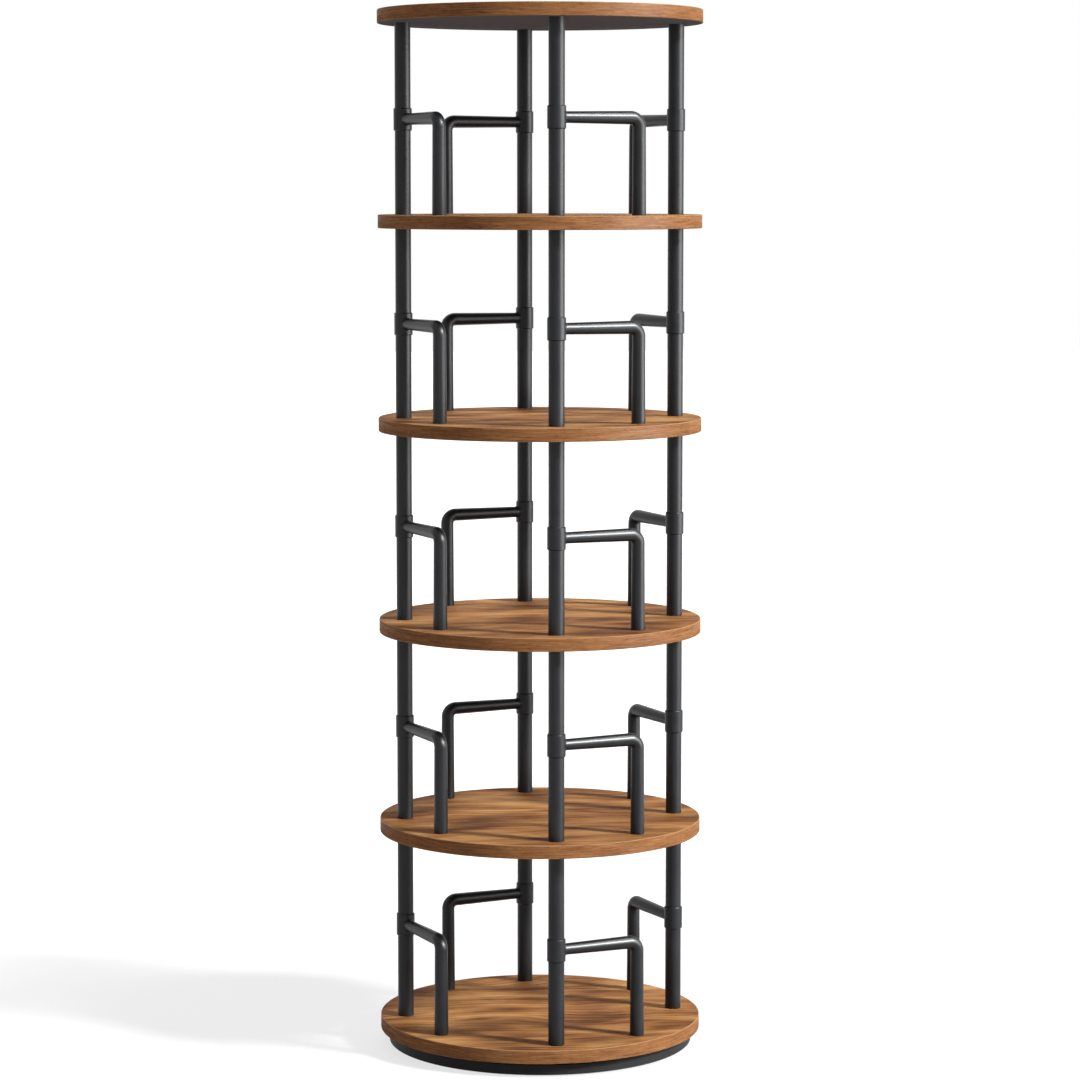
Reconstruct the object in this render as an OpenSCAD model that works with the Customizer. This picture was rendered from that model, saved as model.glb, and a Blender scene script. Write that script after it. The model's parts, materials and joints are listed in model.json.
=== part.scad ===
// Five-tier revolving bookcase: round shelves on steel posts, turning on a ball bearing over a flat plinth.
// Lengths are in millimetres. The origin is on the floor, on the axis of rotation, and +Z is up.
// The front post stands at -Y, and the others follow counter-clockwise seen from above.

/* [Shelves] */
// Number of tiers between the lowest shelf and the top board
tiers = 5; // [1:1:5]
// Clear height between two boards
tier_clear = 262.7; // [210:0.1:380]
// Diameter of every board
board_d = 450; // [430:1:600]
// Thickness of every board, with its laminate on both faces
board_t = 18.6; // [16:0.1:30]
// Radius of the rounding on a board's upper and lower edge
board_edge_r = 1; // [0.4:0.1:3]

/* [Posts] */
// Diameter of the circle that the post axes stand on
post_circle_d = 380.8; // [340:0.2:390]
// Outer diameter of a post tube
post_d = 22; // [18:0.1:30]
// Wall thickness of a post tube
post_wall = 1.5; // [1:0.1:2.5]
// Length of the threaded plug welded into each end of a post
plug_l = 14; // [13:0.5:30]

/* [Bookends] */
// Angle from a post to the foot of its bookend, seen from the axis of rotation
bookend_turn = 37.8; // [30:0.1:45]
// Height of the horizontal run's axis above the shelf
bookend_h = 130.7; // [90:0.1:180]
// Diameter of the bookend tube at its foot
foot_d = 19.2; // [16:0.1:20]
// Diameter of the bookend tube round its bend
bend_d = 17.9; // [15:0.1:20]
// Diameter of the bookend tube where it is welded to its sleeve
neck_d = 15.2; // [12:0.1:18]
// Radius of the bend, measured on the tube's axis
bend_r = 12.3; // [11:0.1:24]
// Wall thickness of the bookend tube
bookend_wall = 1.2; // [1:0.1:2]
// Length of the threaded plug welded into the foot
foot_plug_l = 14; // [13:0.5:24]
// Wall thickness of the sleeve round the post
sleeve_wall = 1.5; // [1.3:0.1:5]
// Height of the sleeve
sleeve_h = 31; // [24:0.5:60]
// Depth of the taper round both ends of the sleeve, measured along a radius
sleeve_taper = 0.9; // [0.3:0.1:1.2]
// Height of that taper
sleeve_taper_h = 1; // [0.5:0.1:6]
// Gap all round between a post and the sleeve on it
sleeve_gap = 0.2; // [0.1:0.05:0.4]

/* [Plinth] */
// Diameter of the plinth
plinth_d = 426; // [400:1:560]
// Thickness of the plinth
plinth_t = 15; // [14:0.1:30]
// Radius of the rounding on the plinth's upper and lower edge
plinth_edge_r = 1; // [0.4:0.1:3]
// Running gap between the plinth and the lowest shelf
turn_gap = 3.3; // [2:0.1:6]
// Number of rubber pads under the plinth
pads = 8; // [6:1:12]
// Diameter of a rubber pad
pad_d = 30; // [20:1:40]
// Thickness of a rubber pad
pad_t = 2; // [1.5:0.1:5]
// Radius of the circle that the pads lie on
pad_circle_r = 190; // [140:1:192]

/* [Turntable bearing] */
// Outer diameter of the fixed ring
bearing_d = 202; // [190:1:240]
// Width of each ring, measured along a radius
ring_w = 14; // [13:0.5:20]
// Height of each ring
ring_h = 8; // [7.5:0.1:10]
// How far the turning ring stands above the fixed ring
ring_step = 1; // [0.6:0.1:1.4]
// Gap between the two rings, where the cage runs
ring_gap = 3; // [2.6:0.1:3.4]
// Number of balls
balls = 36; // [24:1:48]
// Diameter of a ball
ball_d = 5; // [4.6:0.1:5.4]
// Gap all round between a ball and its grooves
ball_gap = 0.2; // [0.15:0.01:0.3]
// Thickness of the ball cage, measured along a radius
cage_t = 1.4; // [1:0.1:1.8]
// Height of the ball cage
cage_h = 6.4; // [6:0.1:7]
// Number of screws in each ring
ring_screws = 6; // [4:1:10]

/* [Fasteners] */
// Thread diameter of the studs and bolts in the posts
stud_d = 8; // [6:0.5:10]
// Length of thread in each post plug
stud_grip = 12; // [8:0.5:12.5]
// Head diameter of the countersunk bolts under the lowest posts
bolt_head_d = 16; // [13:0.5:20]
// Width across flats of the socket in those bolts
bolt_socket = 5; // [3:0.5:6]
// Thread diameter of the bookend foot screws
foot_screw_d = 5; // [4:0.5:6]
// Length of thread in each bookend foot
foot_grip = 10; // [8:0.5:12.5]
// Head diameter of the foot screws
foot_head_d = 10; // [8.5:0.5:12]
// Width across flats of the socket in the foot screws
foot_socket = 3; // [2:0.5:3.5]
// Thread diameter of the bearing screws
ring_screw_d = 4; // [3:0.5:4.5]
// Head diameter of the bearing screws
ring_head_d = 8; // [6.5:0.5:9]
// Width across flats of the socket in the bearing screws
ring_socket = 2.5; // [1.5:0.5:3]
// Length of the bearing screws in the plinth
plinth_grip = 7; // [4:0.5:8]
// Length of the bearing screws in the lowest shelf
shelf_grip = 12; // [6:0.5:14]
// Outer diameter of the threaded inserts in the top board
insert_d = 12; // [11.5:0.5:16]
// Length of the threaded inserts
insert_l = 13; // [8:0.5:14]
// Gap all round between a thread and the hole that it is driven into
thread_gap = 0.05; // [0.02:0.01:0.1]
// Gap all round between a screw and the hole that it passes through
hole_gap = 0.3; // [0.2:0.05:0.5]
// Depth of a countersunk head below the face around it
head_sink = 0.3; // [0.1:0.05:0.6]

/* [Hidden] */
$fn = 96;

// Order of the posts, counter-clockwise seen from above, and the angle of the first
sides = ["front", "right", "back", "left"];
front_angle = -90;
side_step = 360 / len(sides);

post_r = post_d / 2;
post_circle_r = post_circle_d / 2;
sleeve_bore_r = post_r + sleeve_gap;
sleeve_r = sleeve_bore_r + sleeve_wall;

// Heights above the floor
plinth_top = pad_t + plinth_t;
pocket_depth = ring_h + ring_step - turn_gap;
pocket_floor = plinth_top - pocket_depth;
first_board = plinth_top + turn_gap;
pitch = board_t + tier_clear;
function board_bottom(n) = first_board + (n - 1) * pitch;
function board_top(n) = board_bottom(n) + board_t;
top_board_number = tiers + 1;

// The bookend seen along its own plane: x runs from the post's axis to the foot's axis
chord = 2 * post_circle_r * sin(bookend_turn / 2);
run_l = chord - bend_r;
leg_h = bookend_h - bend_r;

// Radii of the bearing, from the outside in
outer_ring_r = bearing_d / 2;
outer_ring_bore_r = outer_ring_r - ring_w;
ball_circle_r = outer_ring_bore_r - ring_gap / 2;
inner_ring_r = outer_ring_bore_r - ring_gap;
inner_ring_bore_r = inner_ring_r - ring_w;
outer_screw_r = outer_ring_r - ring_w / 2;
inner_screw_r = inner_ring_r - ring_w / 2;
groove_r = ball_d / 2 + ball_gap;
pocket_gap = 0.5;
ball_z = pocket_floor + (ring_h + ring_step) / 2;
access_gap = 1.5;
access_r = ring_head_d / 2 + access_gap;
ring_chamfer = 0.4;

// A cut runs past the face that it opens by this much
over = 1;
socket_depth_share = 0.8;
pilot_tip = 1;

wood = [0.50, 0.28, 0.15];
black_steel = [0.17, 0.17, 0.18];
black_board = [0.12, 0.12, 0.13];
rubber = [0.06, 0.06, 0.06];
zinc = [0.72, 0.73, 0.74];
alloy = [0.78, 0.79, 0.80];
nylon = [0.88, 0.87, 0.82];

function board_name(n) = n > tiers ? "top_board" : str("shelf_", n);
function post_name(t, s) = str("tier_", t, "_post_", sides[s]);
function bookend_name(t, s) = str("tier_", t, "_bookend_", sides[s]);

// Places its children at each post, with x pointing away from the axis of rotation
module at_posts() {
    for (s = [0 : len(sides) - 1])
        at_post(s) children();
}

module at_post(s) {
    rotate([0, 0, front_angle + s * side_step])
        translate([post_circle_r, 0, 0])
            children();
}

// Places its children at the foot of each bookend
module at_feet() {
    for (s = [0 : len(sides) - 1])
        rotate([0, 0, front_angle + s * side_step + bookend_turn])
            translate([post_circle_r, 0, 0])
                children();
}

// Spreads its children evenly round a circle
module around(count, radius) {
    for (i = [0 : count - 1])
        rotate([0, 0, (i + 0.5) * 360 / count])
            translate([radius, 0, 0])
                children();
}

// Half of a disc's section, with both outer edges rounded
module disc_section(radius, height, edge_r) {
    square([radius - edge_r, height]);
    translate([0, edge_r])
        square([radius, height - 2 * edge_r]);
    for (z = [edge_r, height - edge_r])
        translate([radius - edge_r, z])
            circle(edge_r);
}

module disc(radius, height, edge_r) {
    rotate_extrude()
        disc_section(radius, height, edge_r);
}

// A countersunk screw that points up, with its head flush at z = 0
module countersunk_screw(d, head_d, length, socket) {
    head_h = (head_d - d) / 2;
    difference() {
        union() {
            cylinder(h = head_h, d1 = head_d, d2 = d);
            translate([0, 0, head_h])
                cylinder(h = length - head_h, d = d);
        }
        translate([0, 0, -over])
            cylinder(h = head_h * socket_depth_share + over, d = socket / cos(30), $fn = 6);
    }
}

// The hole for that screw through a board or a ring, cut from the face at z = 0
module countersunk_hole(d, head_d, length) {
    wide_head = head_d / 2 + hole_gap;
    wide_d = d / 2 + hole_gap;
    head_h = wide_head - wide_d;
    translate([0, 0, -over])
        cylinder(h = over + head_sink, r = wide_head);
    translate([0, 0, head_sink])
        cylinder(h = head_h, r1 = wide_head, r2 = wide_d);
    translate([0, 0, head_sink])
        cylinder(h = length + over, r = wide_d);
}

// A hole for a thread, wider than it by the thread gap
module thread_hole(d, length) {
    translate([0, 0, -over])
        cylinder(h = length + over, r = d / 2 + thread_gap);
}

// Base

module base_plinth() {
    color(black_board)
        difference() {
            translate([0, 0, pad_t])
                disc(plinth_d / 2, plinth_t, plinth_edge_r);
            translate([0, 0, pocket_floor])
                cylinder(h = pocket_depth + over, r = outer_ring_r + pocket_gap);
            translate([0, 0, pocket_floor])
                around(ring_screws, outer_screw_r)
                    mirror([0, 0, 1])
                        thread_hole(ring_screw_d, plinth_grip + pilot_tip);
            translate([0, 0, pad_t - over])
                around(ring_screws, inner_screw_r)
                    cylinder(h = plinth_t + 2 * over, r = access_r);
        }
}

module base_pads() {
    color(rubber)
        around(pads, pad_circle_r)
            cylinder(h = pad_t, d = pad_d);
}

// One bearing ring from its inner to its outer radius, chamfered at its four corners
module ring_section(inner_r, outer_r, height) {
    c = ring_chamfer;
    polygon([
        [inner_r + c, 0], [outer_r - c, 0], [outer_r, c], [outer_r, height - c],
        [outer_r - c, height], [inner_r + c, height], [inner_r, height - c], [inner_r, c]
    ]);
}

module groove() {
    translate([0, 0, ball_z])
        rotate_extrude()
            translate([ball_circle_r, 0])
                circle(groove_r);
}

module bearing_fixed_ring() {
    color(alloy)
        difference() {
            translate([0, 0, pocket_floor])
                rotate_extrude()
                    ring_section(outer_ring_bore_r, outer_ring_r, ring_h);
            groove();
            translate([0, 0, pocket_floor + ring_h])
                around(ring_screws, outer_screw_r)
                    mirror([0, 0, 1])
                        countersunk_hole(ring_screw_d, ring_head_d, ring_h);
        }
}

module bearing_turning_ring() {
    color(alloy)
        difference() {
            translate([0, 0, pocket_floor + ring_step])
                rotate_extrude()
                    ring_section(inner_ring_bore_r, inner_ring_r, ring_h);
            groove();
            translate([0, 0, pocket_floor + ring_step])
                around(ring_screws, inner_screw_r)
                    countersunk_hole(ring_screw_d, ring_head_d, ring_h);
        }
}

module bearing_balls() {
    color(zinc)
        translate([0, 0, ball_z])
            around(balls, ball_circle_r)
                sphere(d = ball_d);
}

module bearing_cage() {
    color(nylon)
        difference() {
            translate([0, 0, ball_z - cage_h / 2])
                rotate_extrude()
                    translate([ball_circle_r - cage_t / 2, 0])
                        square([cage_t, cage_h]);
            translate([0, 0, ball_z])
                around(balls, ball_circle_r)
                    rotate([0, 90, 0])
                        cylinder(h = ring_gap + 2 * over, r = ball_d / 2 + ball_gap, center = true);
        }
}

module bearing_plinth_screws() {
    color(zinc)
        translate([0, 0, pocket_floor + ring_h - head_sink])
            around(ring_screws, outer_screw_r)
                mirror([0, 0, 1])
                    countersunk_screw(ring_screw_d, ring_head_d, ring_h - head_sink + plinth_grip, ring_socket);
}

module bearing_shelf_screws() {
    color(zinc)
        translate([0, 0, pocket_floor + ring_step + head_sink])
            around(ring_screws, inner_screw_r)
                countersunk_screw(ring_screw_d, ring_head_d, ring_h - head_sink + shelf_grip, ring_socket);
}

// Boards

module shelf(n) {
    bottom = board_bottom(n);
    color(wood)
        difference() {
            translate([0, 0, bottom])
                disc(board_d / 2, board_t, board_edge_r);
            translate([0, 0, bottom]) {
                at_feet()
                    countersunk_hole(foot_screw_d, foot_head_d, board_t);
                if (n == 1) {
                    at_posts()
                        countersunk_hole(stud_d, bolt_head_d, board_t);
                    around(ring_screws, inner_screw_r)
                        thread_hole(ring_screw_d, shelf_grip + pilot_tip);
                } else {
                    at_posts()
                        translate([0, 0, -over])
                            cylinder(h = board_t + 2 * over, r = stud_d / 2 + hole_gap);
                }
            }
        }
}

module top_board() {
    bottom = board_bottom(top_board_number);
    color(wood)
        difference() {
            translate([0, 0, bottom])
                disc(board_d / 2, board_t, board_edge_r);
            translate([0, 0, bottom])
                at_posts()
                    thread_hole(insert_d, insert_l + pilot_tip);
        }
}

// Posts and bookends

module post(t, s) {
    color(black_steel)
        translate([0, 0, board_top(t)])
            at_post(s)
                difference() {
                    cylinder(h = tier_clear, r = post_r);
                    translate([0, 0, plug_l])
                        cylinder(h = tier_clear - 2 * plug_l, r = post_r - post_wall);
                    thread_hole(stud_d, tier_clear + over);
                }
}

// The bookend tube's outside, or with inset its cavity: a run, a quarter bend and a leg
module bookend_tube(inset, run_start, leg_start) {
    foot_r = foot_d / 2 - inset;
    turn_r = bend_d / 2 - inset;
    neck_r = neck_d / 2 - inset;
    // Radius of the tapering run at run_start, and of the leg at leg_start
    start_r = neck_r + (turn_r - neck_r) * run_start / run_l;
    low_r = foot_r + (turn_r - foot_r) * leg_start / leg_h;
    translate([run_start, 0, bookend_h])
        rotate([0, 90, 0])
            cylinder(h = run_l - run_start, r1 = start_r, r2 = turn_r);
    translate([run_l, 0, leg_h])
        rotate([90, 0, 0])
            rotate_extrude(angle = 90)
                translate([bend_r, 0])
                    circle(turn_r);
    translate([chord, 0, leg_start])
        cylinder(h = leg_h - leg_start, r1 = low_r, r2 = turn_r);
}

module sleeve() {
    end_r = sleeve_r - sleeve_taper;
    upper = sleeve_h - sleeve_taper_h;
    translate([0, 0, bookend_h - sleeve_h / 2])
        rotate_extrude()
            polygon([
                [0, 0], [end_r, 0], [sleeve_r, sleeve_taper_h],
                [sleeve_r, upper], [end_r, sleeve_h], [0, sleeve_h]
            ]);
}

// A bent tube on a sleeve that slides over its post; the foot is held by a screw from under the shelf
module bookend(t, s) {
    color(black_steel)
        translate([0, 0, board_top(t)])
            at_post(s)
                rotate([0, 0, 90 + bookend_turn / 2])
                    difference() {
                        union() {
                            sleeve();
                            bookend_tube(0, 0, 0);
                        }
                        bookend_tube(bookend_wall, sleeve_r, foot_plug_l);
                        cylinder(h = bookend_h + sleeve_h, r = sleeve_bore_r);
                        translate([chord, 0, 0])
                            thread_hole(foot_screw_d, foot_plug_l + over);
                    }
}

// Fasteners

module post_studs() {
    color(zinc)
        for (n = [2 : tiers])
            translate([0, 0, board_bottom(n) - stud_grip])
                at_posts()
                    cylinder(h = board_t + 2 * stud_grip, d = stud_d);
}

module post_bolts() {
    color(zinc)
        translate([0, 0, board_bottom(1) + head_sink])
            at_posts()
                countersunk_screw(stud_d, bolt_head_d, board_t - head_sink + stud_grip, bolt_socket);
}

module top_studs() {
    color(zinc)
        translate([0, 0, board_bottom(top_board_number) - stud_grip])
            at_posts()
                cylinder(h = stud_grip + insert_l, d = stud_d);
}

module top_inserts() {
    color(zinc)
        translate([0, 0, board_bottom(top_board_number)])
            at_posts()
                difference() {
                    cylinder(h = insert_l, d = insert_d);
                    thread_hole(stud_d, insert_l + over);
                }
}

module bookend_screws() {
    color(zinc)
        for (n = [1 : tiers])
            translate([0, 0, board_bottom(n) + head_sink])
                at_feet()
                    countersunk_screw(foot_screw_d, foot_head_d, board_t - head_sink + foot_grip, foot_socket);
}

base_plinth();
base_pads();
bearing_fixed_ring();
bearing_turning_ring();
bearing_balls();
bearing_cage();
bearing_plinth_screws();
bearing_shelf_screws();
post_studs();
post_bolts();
top_studs();
top_inserts();
bookend_screws();
top_board();
for (n = [1 : tiers])
    shelf(n);
for (t = [1 : tiers]) for (s = [0 : len(sides) - 1])
    post(t, s);
for (t = [1 : tiers]) for (s = [0 : len(sides) - 1])
    bookend(t, s);
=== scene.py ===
"""The revolving bookcase dressed for its picture: materials, weld beads, floor, lights and camera.

Lengths are in metres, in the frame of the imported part: the floor is z = 0, and the bookcase turns
about z.
"""

import json
import math

import bmesh
import bpy
from mathutils import Matrix, Vector


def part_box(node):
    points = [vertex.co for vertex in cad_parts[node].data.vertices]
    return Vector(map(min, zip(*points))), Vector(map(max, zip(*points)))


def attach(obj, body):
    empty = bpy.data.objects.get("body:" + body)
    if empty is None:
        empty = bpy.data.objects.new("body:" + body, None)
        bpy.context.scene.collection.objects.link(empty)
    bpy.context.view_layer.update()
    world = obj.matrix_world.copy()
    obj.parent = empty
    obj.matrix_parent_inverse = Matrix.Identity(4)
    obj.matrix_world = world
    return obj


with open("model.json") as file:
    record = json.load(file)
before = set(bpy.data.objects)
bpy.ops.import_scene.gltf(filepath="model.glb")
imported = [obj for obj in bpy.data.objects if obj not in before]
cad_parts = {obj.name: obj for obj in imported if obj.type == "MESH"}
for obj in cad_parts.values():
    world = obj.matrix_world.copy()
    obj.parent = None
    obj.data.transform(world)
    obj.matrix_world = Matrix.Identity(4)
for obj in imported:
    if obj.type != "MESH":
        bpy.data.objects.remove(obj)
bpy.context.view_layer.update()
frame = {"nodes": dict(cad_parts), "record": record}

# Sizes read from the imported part
SIDES = ("front", "right", "back", "left")
TIERS = max(int(name.split("_")[1]) for name in frame["nodes"] if name.startswith("shelf_"))
shelf_low, shelf_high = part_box("shelf_1")
BOARD_R = shelf_high.x
BOARD_T = shelf_high.z - shelf_low.z
FIRST_BOARD = shelf_low.z
PITCH = (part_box("top_board")[0].z - FIRST_BOARD) / TIERS

# Sizes of the posts and bookends that their boxes don't give
POST_CIRCLE_R = 0.1904
SLEEVE_R = 0.0127
NECK_R = 0.00775
BEND_AXIS_H = 0.1307
BOOKEND_TURN = math.radians(37.8)
FRONT_ANGLE = math.radians(-90)


# Node graphs

NOISE_MEAN = 0.5
# The parts of a noise's range that most of its values fill
NOISE_CORE = (0.35, 0.65)
NOISE_BULK = (0.3, 0.7)


class Graph:
    """Builds a node tree from small expressions."""

    def __init__(self, tree):
        self.tree = tree
        self.tree.nodes.clear()

    def node(self, kind, **settings):
        made = self.tree.nodes.new(kind)
        for key, value in settings.items():
            setattr(made, key, value)
        return made

    def feed(self, socket, value):
        """Links an output to a socket, or sets a plain value on it."""
        if isinstance(value, bpy.types.NodeSocket):
            self.tree.links.new(value, socket)
        else:
            socket.default_value = value

    def math(self, operation, *values, clamp=False):
        made = self.node("ShaderNodeMath", operation=operation, use_clamp=clamp)
        for socket, value in zip(made.inputs, values):
            self.feed(socket, value)
        return made.outputs[0]

    def add(self, a, b, clamp=False):
        return self.math("ADD", a, b, clamp=clamp)

    def sub(self, a, b):
        return self.math("SUBTRACT", a, b)

    def mul(self, a, b):
        return self.math("MULTIPLY", a, b)

    def div(self, a, b):
        return self.math("DIVIDE", a, b)

    def swing(self, noise, reach):
        """The noise less its mean, times reach."""
        return self.mul(self.sub(noise, NOISE_MEAN), reach)

    def step(self, value, low, high):
        """0 below low, 1 above high, smooth between; where low is above high, it falls instead."""
        made = self.node("ShaderNodeMapRange", interpolation_type="SMOOTHSTEP")
        self.feed(made.inputs["Value"], value)
        if low <= high:
            ends = (low, high, 0.0, 1.0)
        else:
            ends = (high, low, 1.0, 0.0)
        for key, end in zip(("From Min", "From Max", "To Min", "To Max"), ends):
            made.inputs[key].default_value = end
        return made.outputs[0]

    def scale(self, value, to_low, to_high, low=0.0, high=1.0):
        """Maps low..high to to_low..to_high."""
        made = self.node("ShaderNodeMapRange")
        self.feed(made.inputs["Value"], value)
        ends = (low, high, to_low, to_high)
        for key, end in zip(("From Min", "From Max", "To Min", "To Max"), ends):
            made.inputs[key].default_value = end
        return made.outputs[0]

    def position(self):
        """x, y and z of the point in the part's frame."""
        coordinates = self.node("ShaderNodeTexCoord")
        split = self.node("ShaderNodeSeparateXYZ")
        self.feed(split.inputs[0], coordinates.outputs["Object"])
        return split.outputs[0], split.outputs[1], split.outputs[2]

    def radius(self, x, y):
        return self.math("SQRT", self.add(self.mul(x, x), self.mul(y, y)))

    def vector(self, x, y, z):
        made = self.node("ShaderNodeCombineXYZ")
        for socket, value in zip(made.inputs, (x, y, z)):
            self.feed(socket, value)
        return made.outputs[0]

    def noise(self, vector, scale, detail, roughness=0.5, distortion=0.0):
        made = self.node("ShaderNodeTexNoise")
        self.feed(made.inputs["Vector"], vector)
        made.inputs["Scale"].default_value = scale
        made.inputs["Detail"].default_value = detail
        made.inputs["Roughness"].default_value = roughness
        made.inputs["Distortion"].default_value = distortion
        return made.outputs["Fac"]

    def mix(self, factor, a, b):
        """Colour a where the factor is 0, and b where it is 1."""
        made = self.node("ShaderNodeMix", data_type="RGBA")
        self.feed(made.inputs[0], factor)
        self.feed(made.inputs[6], a)
        self.feed(made.inputs[7], b)
        return made.outputs[2]

    def ramp(self, factor, stops):
        made = self.node("ShaderNodeValToRGB")
        self.feed(made.inputs[0], factor)
        points = made.color_ramp.elements
        while len(points) < len(stops):
            points.new(0.5)
        for point, (place, shade) in zip(points, stops):
            point.position = place
            point.color = shade
        return made.outputs[0]

    def bump(self, height, distance, strength):
        made = self.node("ShaderNodeBump")
        made.inputs["Strength"].default_value = strength
        made.inputs["Distance"].default_value = distance
        self.feed(made.inputs["Height"], height)
        return made.outputs[0]


class MaterialGraph(Graph):
    """The graph of a new material, with a Principled shader on its output."""

    def __init__(self, name):
        self.material = bpy.data.materials.new(name)
        self.material.use_nodes = True
        super().__init__(self.material.node_tree)
        self.shader = self.node("ShaderNodeBsdfPrincipled")
        self.feed(self.node("ShaderNodeOutputMaterial").inputs[0], self.shader.outputs[0])

    def set(self, **values):
        """Sets shader sockets by name, with underscores for spaces, and returns the material."""
        for key, value in values.items():
            self.feed(self.shader.inputs[key.replace("_", " ")], value)
        return self.material


def colour(r, g, b):
    return (r, g, b, 1.0)


# Wood-grain boards

# Browns of the laminate, from the darkest streak to the lightest patch, and of the edge band
WOOD_STOPS = (
    (0.00, colour(0.050, 0.018, 0.007)),
    (0.25, colour(0.150, 0.056, 0.019)),
    (0.50, colour(0.322, 0.142, 0.046)),
    (0.75, colour(0.485, 0.245, 0.083)),
    (1.00, colour(0.620, 0.365, 0.148)),
)
BAND_STOPS = (
    (0.00, colour(0.080, 0.028, 0.009)),
    (0.35, colour(0.225, 0.088, 0.029)),
    (0.65, colour(0.350, 0.157, 0.055)),
    (1.00, colour(0.520, 0.272, 0.105)),
)
BACKING_DARK = colour(0.115, 0.112, 0.117)
BACKING_LIGHT = colour(0.177, 0.175, 0.183)
WOOD_SPECULAR = 0.015
WOOD_ROUGHNESS = (0.50, 0.62)
BACKING_ROUGHER = 0.4
# The backing's colour ends between these shares of the board's thickness
BACKING_END = (0.5, 0.4)

# The edge band: it is glossier than the faces, and a painted highlight runs as a lighter line along its
# two edges, where the rounded arrises catch the light
BAND_T = 0.001
BAND_BLUR = 0.0001
BAND_GLOSS = 0.085
BAND_GLOSS_IOR = 1.8
BAND_GLOSS_ROUGHNESS = 0.38
BAND_HIGHLIGHT = colour(0.560, 0.335, 0.150)
BAND_HIGHLIGHT_FULL = 0.0004
BAND_HIGHLIGHT_END = 0.0011
UPPER_HIGHLIGHT_WEIGHT = 0.75
LOWER_HIGHLIGHT_WEIGHT = 0.45

# The glue line between the laminate and its band
JOINT_COLOUR = colour(0.055, 0.025, 0.012)
JOINT_FULL = 0.00008
JOINT_END = 0.00025
JOINT_WEIGHT = 0.55

# Relief of the pores and the glue line, which is JOINT_DEPTH times as deep as a pore
RELIEF_H = 0.00012
RELIEF_STRENGTH = 0.8
JOINT_DEPTH = 1.5
PORE_ROUGHER = 0.12
# How much finer the change of gloss is across the grain than along it
SATIN_STRETCH = 8.0

# Each board is cut from another place of the sheet, which lies within CUT_REACH along the grain
CUT_REACH = 0.8
CUT_START = 1.3
CUT_TURN = 2.7
# A board's zone starts this far under it, so that no point of its underside falls out by rounding
BOARD_MARGIN = 0.001

# Grain of the faces: how far it wanders, its growth rings, and how much each layer shows
GRAIN_WANDER = 0.10
RING_STEP = 0.012
RING_RAGGED = 0.9
RING_EDGE = (0.35, 0.98)
RING_FADE = (0.34, 0.62)
FACE_PORE = (0.44, 0.32)
STREAK_WEIGHT = 1.05
PATCH_WEIGHT = 1.35
RING_WEIGHT = 0.17
FACE_PORE_WEIGHT = 0.13
FACE_TONES = (-0.53, 0.44)

# Grain of the edge band
BAND_WANDER = 0.008
BAND_PORE = (0.47, 0.34)
BAND_STREAK_WEIGHT = 1.35
BAND_WAVE_WEIGHT = 0.25
BAND_PORE_WEIGHT = 0.22
BAND_TONES = (0.34, 1.14)


def grain_layer(g, along, across, board, stretch, cut, **noise):
    """Noise drawn out along the grain by stretch; cut tells how far apart the boards lie in it."""
    return g.noise(g.vector(along, g.mul(across, stretch), g.mul(board, cut)), **noise)


def face_grain(g, x, y, board):
    """Brightness and pores of the grain on a board's face.

    Growth rings, streaks and pores run along x and wander together, with broad patches over them.
    """
    field = grain_layer(g, x, y, board, stretch=2.6, cut=7.3,
                        scale=3.3, detail=1.5, roughness=0.45, distortion=0.1)
    bent = g.add(y, g.swing(field, GRAIN_WANDER))
    streak = grain_layer(g, x, bent, board, stretch=46.0, cut=3.1,
                         scale=5.0, detail=8.0, roughness=0.66, distortion=0.05)
    patch = grain_layer(g, x, bent, board, stretch=2.8, cut=5.7,
                        scale=9.0, detail=2.0, roughness=0.45, distortion=0.15)
    pores = grain_layer(g, x, bent, board, stretch=30.0, cut=1.0,
                        scale=55.0, detail=2.0, roughness=0.6)
    pore = g.step(pores, *FACE_PORE)

    phase = g.add(g.div(bent, RING_STEP), g.mul(streak, RING_RAGGED))
    ring = g.step(g.math("FRACT", phase), *RING_EDGE)
    shown = grain_layer(g, x, y, board, stretch=2.0, cut=1.7, scale=7.0, detail=1.0)
    ring = g.mul(ring, g.step(shown, *RING_FADE))

    tone = g.add(g.swing(streak, STREAK_WEIGHT), g.swing(patch, PATCH_WEIGHT))
    tone = g.sub(tone, g.mul(ring, RING_WEIGHT))
    tone = g.sub(tone, g.mul(pore, FACE_PORE_WEIGHT))
    return g.scale(tone, 0.0, 1.0, *FACE_TONES), pore


def band_grain(g, along, z, board):
    """Brightness and pores of the grain on the edge band, which runs round the board."""
    wave = grain_layer(g, along, z, board, stretch=6.0, cut=5.3, scale=9.0, detail=2.0)
    bent = g.add(z, g.mul(wave, BAND_WANDER))
    streak = grain_layer(g, along, bent, board, stretch=22.0, cut=4.1,
                         scale=22.0, detail=6.0, roughness=0.72, distortion=0.2)
    pores = grain_layer(g, along, bent, board, stretch=16.0, cut=1.0,
                        scale=90.0, detail=2.0, roughness=0.6)
    pore = g.step(pores, *BAND_PORE)
    tone = g.add(g.mul(streak, BAND_STREAK_WEIGHT), g.mul(wave, BAND_WAVE_WEIGHT))
    tone = g.sub(tone, g.mul(pore, BAND_PORE_WEIGHT))
    return g.scale(tone, 0.0, 1.0, *BAND_TONES), pore


def board_and_level(g, z):
    """The number of the board that a height lies on, from 0, and the height over its underside."""
    above = g.sub(z, FIRST_BOARD - BOARD_MARGIN)
    board = g.math("FLOOR", g.div(above, PITCH))
    return board, g.sub(g.sub(above, BOARD_MARGIN), g.mul(board, PITCH))


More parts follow.
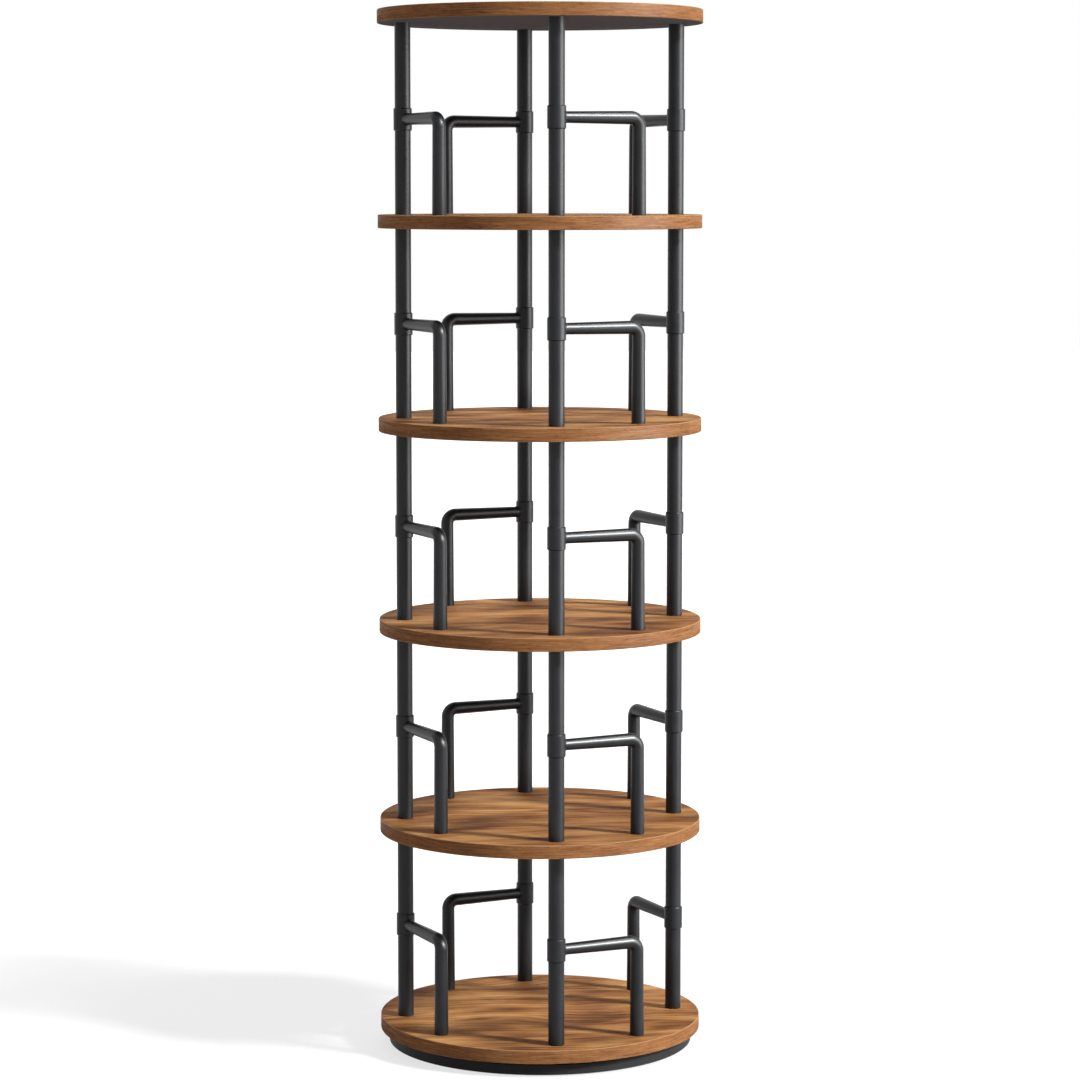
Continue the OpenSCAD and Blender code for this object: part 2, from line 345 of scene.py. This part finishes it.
def band_colours(g, grain, level, on_band):
    """The band's brown, with a painted highlight as a lighter line along its upper and its lower edge.
    """
    shade = g.ramp(grain, BAND_STOPS)
    upper = g.step(level, BOARD_T - BAND_HIGHLIGHT_END, BOARD_T - BAND_HIGHLIGHT_FULL)
    lower = g.step(level, BAND_HIGHLIGHT_END, BAND_HIGHLIGHT_FULL)
    # Paints the highlight line along the upper and the lower edge of the band
    for line, weight in ((upper, UPPER_HIGHLIGHT_WEIGHT), (lower, LOWER_HIGHLIGHT_WEIGHT)):
        shade = g.mix(g.mul(g.mul(line, on_band), weight), shade, BAND_HIGHLIGHT)
    return shade


def wood_board():
    """Wood-grain laminate above, an edge band round the rim and a dark backing underneath."""
    g = MaterialGraph("wood_board")
    x, y, z = g.position()
    board, level = board_and_level(g, z)
    radius = g.radius(x, y)
    along = g.mul(g.math("ARCTAN2", x, g.mul(y, -1.0)), BOARD_R)
    on_band = g.step(radius, BOARD_R - BAND_T - BAND_BLUR, BOARD_R - BAND_T + BAND_BLUR)
    below = g.step(level, *(share * BOARD_T for share in BACKING_END))
    joint = g.math("ABSOLUTE", g.sub(radius, BOARD_R - BAND_T))
    joint = g.step(joint, JOINT_END, JOINT_FULL)

    place_on_sheet = g.mul(g.math("SINE", g.add(g.mul(board, CUT_TURN), CUT_START)), CUT_REACH)
    face, face_pore = face_grain(g, g.add(x, place_on_sheet), y, board)
    band, band_pore = band_grain(g, along, level, board)
    grit = g.noise(g.vector(x, y, z), scale=900.0, detail=2.0)
    backing = g.mix(grit, BACKING_DARK, BACKING_LIGHT)
    colours = g.mix(below, g.ramp(face, WOOD_STOPS), backing)
    colours = g.mix(on_band, colours, band_colours(g, band, level, on_band))
    colours = g.mix(g.mul(joint, JOINT_WEIGHT), colours, JOINT_COLOUR)

    pore = g.add(g.mul(face_pore, g.sub(1.0, on_band)), g.mul(band_pore, on_band))
    relief = g.add(g.mul(pore, -1.0), g.mul(joint, -JOINT_DEPTH))
    satin = g.noise(g.vector(x, g.mul(y, SATIN_STRETCH), z), scale=40.0, detail=3.0)
    rough = g.add(g.scale(satin, *WOOD_ROUGHNESS), g.mul(pore, PORE_ROUGHER))
    rough = g.add(rough, g.mul(below, BACKING_ROUGHER), clamp=True)
    return g.set(Base_Color=colours, Roughness=rough, Specular_IOR_Level=WOOD_SPECULAR,
                 Coat_Weight=g.mul(on_band, BAND_GLOSS), Coat_IOR=BAND_GLOSS_IOR,
                 Coat_Roughness=BAND_GLOSS_ROUGHNESS,
                 Normal=g.bump(relief, distance=RELIEF_H, strength=RELIEF_STRENGTH))


# The other finishes

STEEL_DARK = colour(0.0110, 0.0122, 0.0142)
STEEL_LIGHT = colour(0.0160, 0.0175, 0.0200)
STEEL_ROUGHNESS = (0.34, 0.40)
PEEL_WEIGHT = 0.7
COAT_GRAIN_WEIGHT = 0.3
COAT_GRAIN_ROUGHER = 0.08
FIBREBOARD_DARK = colour(0.0105, 0.011, 0.012)
FIBREBOARD_LIGHT = colour(0.0155, 0.016, 0.017)
# Fibres and scuffs are this much finer in height than round the plinth
FIBRE_STRETCH = 3.0
SCUFF_STRETCH = 12.0
SCUFF_COLOUR = colour(0.075, 0.072, 0.070)
SCUFF_EDGE = (0.66, 0.76)
# Scuffs show full below the second height, and none above the first
SCUFF_H = (0.006, 0.0025)
SCUFF_WEIGHT = 0.35
RUBBER_DARK = colour(0.012, 0.012, 0.012)
RUBBER_LIGHT = colour(0.026, 0.026, 0.027)
ALLOY_DARK = colour(0.66, 0.67, 0.68)
ALLOY_LIGHT = colour(0.80, 0.81, 0.82)
ZINC_DARK = colour(0.50, 0.52, 0.54)
ZINC_LIGHT = colour(0.70, 0.71, 0.70)
NYLON_DARK = colour(0.72, 0.70, 0.62)
NYLON_LIGHT = colour(0.84, 0.82, 0.75)


def black_steel():
    """Satin powder coat: a fine orange peel and a little change of tone."""
    g = MaterialGraph("black_steel")
    place = g.vector(*g.position())
    peel = g.noise(place, scale=1400.0, detail=2.0)
    grains = g.noise(place, scale=5200.0, detail=1.0)
    tone = g.noise(place, scale=28.0, detail=3.0, roughness=0.55)
    height = g.add(g.mul(peel, PEEL_WEIGHT), g.mul(grains, COAT_GRAIN_WEIGHT))
    rough = g.add(g.scale(tone, *STEEL_ROUGHNESS), g.swing(grains, COAT_GRAIN_ROUGHER))
    return g.set(Base_Color=g.mix(g.scale(tone, 0.0, 1.0, *NOISE_CORE), STEEL_DARK, STEEL_LIGHT),
                 Roughness=rough, Specular_IOR_Level=0.22,
                 Normal=g.bump(height, distance=0.00006, strength=0.55))


def black_board():
    """Charcoal coat on fibreboard: matte, with a trace of fibre and a few scuffs low on the edge."""
    g = MaterialGraph("black_board")
    x, y, z = g.position()
    fibre = g.noise(g.vector(x, y, g.mul(z, FIBRE_STRETCH)),
                    scale=700.0, detail=3.0, roughness=0.6, distortion=0.4)
    tone = g.noise(g.vector(x, y, z), scale=16.0, detail=3.0)
    scuffs = g.noise(g.vector(x, y, g.mul(z, SCUFF_STRETCH)),
                     scale=90.0, detail=3.0, roughness=0.6)
    scuff = g.mul(g.step(scuffs, *SCUFF_EDGE), g.step(z, *SCUFF_H))
    base = g.mix(g.scale(tone, 0.0, 1.0, *NOISE_CORE), FIBREBOARD_DARK, FIBREBOARD_LIGHT)
    return g.set(Base_Color=g.mix(g.mul(scuff, SCUFF_WEIGHT), base, SCUFF_COLOUR),
                 Roughness=g.scale(fibre, 0.48, 0.62, *NOISE_BULK), Specular_IOR_Level=0.13,
                 Normal=g.bump(fibre, distance=0.00008, strength=0.6))


def rubber():
    g = MaterialGraph("rubber")
    skin = g.noise(g.vector(*g.position()), scale=1200.0, detail=3.0, roughness=0.6)
    return g.set(Base_Color=g.mix(skin, RUBBER_DARK, RUBBER_LIGHT),
                 Roughness=g.scale(skin, 0.72, 0.9, *NOISE_BULK),
                 Normal=g.bump(skin, distance=0.0001, strength=0.7))


def bearing_alloy():
    """Aluminium ring with the fine circles that turning leaves."""
    g = MaterialGraph("bearing_alloy")
    x, y, z = g.position()
    circles = g.noise(g.vector(g.radius(x, y), z, 0.0), scale=2600.0, detail=2.0, roughness=0.6)
    tone = g.noise(g.vector(x, y, z), scale=60.0, detail=3.0)
    return g.set(Base_Color=g.mix(tone, ALLOY_DARK, ALLOY_LIGHT), Metallic=1.0,
                 Roughness=g.scale(circles, 0.24, 0.40, *NOISE_BULK),
                 Normal=g.bump(circles, distance=0.00002, strength=0.5))


def zinc_steel():
    """Bright zinc plating with its faint spangle."""
    g = MaterialGraph("zinc_steel")
    place = g.vector(*g.position())
    cloud = g.noise(place, scale=220.0, detail=3.0, roughness=0.55)
    fine = g.noise(place, scale=2400.0, detail=2.0)
    return g.set(Base_Color=g.mix(cloud, ZINC_DARK, ZINC_LIGHT), Metallic=1.0,
                 Roughness=g.scale(cloud, 0.26, 0.42, *NOISE_BULK),
                 Normal=g.bump(fine, distance=0.00002, strength=0.4))


def cage_nylon():
    g = MaterialGraph("cage_nylon")
    cloud = g.noise(g.vector(*g.position()), scale=300.0, detail=2.0)
    return g.set(Base_Color=g.mix(cloud, NYLON_DARK, NYLON_LIGHT),
                 Roughness=g.scale(cloud, 0.42, 0.55),
                 Normal=g.bump(cloud, distance=0.00003, strength=0.4))


finishes = {
    "wood_board": wood_board(),
    "black_steel": black_steel(),
    "black_board": black_board(),
    "rubber": rubber(),
    "bearing_alloy": bearing_alloy(),
    "zinc_steel": zinc_steel(),
    "cage_nylon": cage_nylon(),
}


def dress_nodes():
    """Gives every node of the part the finish that the record names for it."""
    slots = {entry["node"]: entry["material_slot"] for entry in frame["record"]["subparts"]}
    for name, obj in frame["nodes"].items():
        obj.data.materials.clear()
        obj.data.materials.append(finishes[slots[name]])


# Weld beads

BEAD_R = 0.0011
BEAD_STEPS = 72
BEAD_SIDES = 10
BEAD_RIPPLES = 26
BEAD_RIPPLE = 0.12
# How far to each side the bead's direction is taken, in radians
BEAD_REACH = 0.01


def bead_point(t):
    """A point on the line where a bookend's neck meets its sleeve: x along the neck and z up."""
    side, rise = NECK_R * math.cos(t), NECK_R * math.sin(t)
    return Vector((math.sqrt(SLEEVE_R ** 2 - side ** 2), side, rise))


def bead_ring(mesh, t, place):
    """The bead's cross-section at t, whose radius ripples as a hand-laid weld does."""
    centre = bead_point(t)
    along = (bead_point(t + BEAD_REACH) - bead_point(t - BEAD_REACH)).normalized()
    side = along.cross(Vector((1.0, 0.0, 0.0))).normalized()
    out = side.cross(along).normalized()
    radius = BEAD_R * (1 + BEAD_RIPPLE * math.sin(BEAD_RIPPLES * t))
    ring = []
    for k in range(BEAD_SIDES):
        a = 2 * math.pi * k / BEAD_SIDES
        ring.append(mesh.verts.new(place @ (centre + radius * (math.cos(a) * side + math.sin(a) * out))))
    return ring


def weld_bead(name, place):
    """A rippled bead round the neck, as one closed tube."""
    mesh = bmesh.new()
    rings = [bead_ring(mesh, 2 * math.pi * i / BEAD_STEPS, place) for i in range(BEAD_STEPS)]
    for i, ring in enumerate(rings):
        following = rings[(i + 1) % BEAD_STEPS]
        for k in range(BEAD_SIDES):
            j = (k + 1) % BEAD_SIDES
            mesh.faces.new((ring[k], ring[j], following[j], following[k]))
    bmesh.ops.recalc_face_normals(mesh, faces=mesh.faces)
    data = bpy.data.meshes.new(name)
    mesh.to_mesh(data)
    mesh.free()
    for polygon in data.polygons:
        polygon.use_smooth = True
    data.materials.append(finishes["black_steel"])
    bead = bpy.data.objects.new(name, data)
    bpy.context.scene.collection.objects.link(bead)
    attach(bead, "carousel")


def bookend_place(tier, side):
    """The frame of a bookend: its origin on the post's axis at the run's height, x along the run."""
    angle = FRONT_ANGLE + side * math.pi / 2
    height = FIRST_BOARD + BOARD_T + (tier - 1) * PITCH + BEND_AXIS_H
    centre = Vector((POST_CIRCLE_R * math.cos(angle), POST_CIRCLE_R * math.sin(angle), height))
    turn = angle + math.pi / 2 + BOOKEND_TURN / 2
    return Matrix.Translation(centre) @ Matrix.Rotation(turn, 4, "Z")


def weld_beads():
    for tier in range(1, TIERS + 1):
        for side, side_name in enumerate(SIDES):
            weld_bead(f"tier_{tier}_weld_{side_name}", bookend_place(tier, side))


# Camera

# The photograph's camera: the direction it stands in, measured about z from the front, its
# distance from the axis, its height, and how far it looks down
CAMERA_AZIMUTH = math.radians(-6.68)
CAMERA_DISTANCE = 4.7480
CAMERA_HEIGHT = 1.2045
CAMERA_PITCH = math.radians(5.399)
CAMERA_LENS = 113.69
CAMERA_SENSOR = 36.0
CAMERA_SHIFT_Y = -0.03
CAMERA_CLIP_END = 100.0


def photo_camera():
    data = bpy.data.cameras.new("photo_camera")
    data.lens = CAMERA_LENS
    data.sensor_width = CAMERA_SENSOR
    data.shift_y = CAMERA_SHIFT_Y
    data.clip_end = CAMERA_CLIP_END
    camera = bpy.data.objects.new("photo_camera", data)
    back = Vector((math.sin(CAMERA_AZIMUTH), -math.cos(CAMERA_AZIMUTH), 0.0))
    camera.location = back * CAMERA_DISTANCE + Vector((0, 0, CAMERA_HEIGHT))
    camera.rotation_euler = (math.pi / 2 - CAMERA_PITCH, 0.0, CAMERA_AZIMUTH)
    bpy.context.scene.collection.objects.link(camera)
    bpy.context.scene.camera = camera


# Floor and light

WHITE = colour(1.0, 1.0, 1.0)
FLOOR_SIZE = 40.0
FLOOR_COLOUR = colour(0.30, 0.30, 0.30)
# The floor glows a little near the bookcase and turns all white between these distances
FLOOR_LIFT = 0.72
FLOOR_FADE = (0.55, 1.5)
# Light thrown back by the wood around it is a little warm
WORLD_LEVEL = 0.24
WORLD_LIGHT = colour(1.0, 0.83, 0.90)
SUN_HEIGHT = 4.0
SUN_DISTANCE = 4.0


def background_rays(g):
    """1 for the rays that show the white background: the camera's, and mirrored or let through."""
    rays = g.node("ShaderNodeLightPath")
    seen = g.math("MAXIMUM", rays.outputs["Is Camera Ray"], rays.outputs["Is Glossy Ray"])
    return g.math("MAXIMUM", seen, rays.outputs["Is Transmission Ray"])


def white_floor():
    """A pale floor that keeps the bookcase's shadow and fades into the white background."""
    bpy.ops.mesh.primitive_plane_add(size=FLOOR_SIZE, location=(0, 0, 0))
    floor = bpy.context.object
    floor.name = "floor"
    material = bpy.data.materials.new("floor_white")
    material.use_nodes = True
    g = Graph(material.node_tree)
    x, y, z = g.position()
    away = g.step(g.radius(x, y), *FLOOR_FADE)
    diffuse = g.node("ShaderNodeBsdfDiffuse")
    g.feed(diffuse.inputs["Color"], FLOOR_COLOUR)
    glow = g.node("ShaderNodeEmission")
    g.feed(glow.inputs["Color"], WHITE)
    lift = g.add(g.mul(away, 1.0 - FLOOR_LIFT), FLOOR_LIFT)
    g.feed(glow.inputs["Strength"], g.mul(background_rays(g), lift))
    both = g.node("ShaderNodeAddShader")
    g.feed(both.inputs[0], diffuse.outputs[0])
    g.feed(both.inputs[1], glow.outputs[0])
    g.feed(g.node("ShaderNodeOutputMaterial").inputs[0], both.outputs[0])
    floor.data.materials.append(material)


def white_world():
    """Even light at WORLD_LEVEL, and white behind the object."""
    world = bpy.data.worlds.new("studio")
    world.use_nodes = True
    bpy.context.scene.world = world
    g = Graph(world.node_tree)
    background = g.node("ShaderNodeBackground")
    seen = background_rays(g)
    g.feed(background.inputs["Color"], g.mix(seen, WORLD_LIGHT, WHITE))
    g.feed(background.inputs["Strength"], g.scale(seen, WORLD_LEVEL, 1.0))
    g.feed(g.node("ShaderNodeOutputWorld").inputs[0], background.outputs[0])


def place_light(name, data, azimuth, elevation, height, distance):
    """Puts a light round the bookcase; azimuth 0 is on the camera's side, and 90 to its right."""
    light = bpy.data.objects.new(name, data)
    turn = math.radians(azimuth) + CAMERA_AZIMUTH
    light.location = (distance * math.sin(turn), -distance * math.cos(turn), height)
    light.rotation_euler = (math.pi / 2 - math.radians(elevation), 0.0, turn)
    bpy.context.scene.collection.objects.link(light)
    return light


def parallel_light(name, azimuth, elevation, strength, angle):
    """Parallel soft light, so that every tier is lit alike."""
    data = bpy.data.lights.new(name, "SUN")
    data.energy = strength
    data.angle = math.radians(angle)
    return place_light(name, data, azimuth, elevation, SUN_HEIGHT, SUN_DISTANCE)


def strip_light(name, azimuth, distance, centre, width, height, watts):
    """An upright softbox at the bookcase's side."""
    data = bpy.data.lights.new(name, "AREA")
    data.shape = "RECTANGLE"
    data.size = width
    data.size_y = height
    data.energy = watts
    return place_light(name, data, azimuth, 0.0, centre, distance)


def studio_lights():
    parallel_light("key_light", azimuth=66, elevation=34, strength=4.8, angle=9)
    fill = parallel_light("back_fill", azimuth=180, elevation=38, strength=1.1, angle=60)
    fill.visible_glossy = False
    # These draw only the sheen on the tubes and the edge bands
    sheen_lights = (
        parallel_light("catch_light", azimuth=57, elevation=34, strength=11.0, angle=9),
        parallel_light("high_light", azimuth=85, elevation=58, strength=2.3, angle=14),
        strip_light("sheen_strip", azimuth=76, distance=3.0, centre=1.20,
                    width=2.3, height=1.85, watts=172),
    )
    for light in sheen_lights:
        light.visible_diffuse = False


dress_nodes()
weld_beads()
white_floor()
white_world()
studio_lights()
photo_camera()
bpy.context.scene.view_settings.view_transform = "Standard"
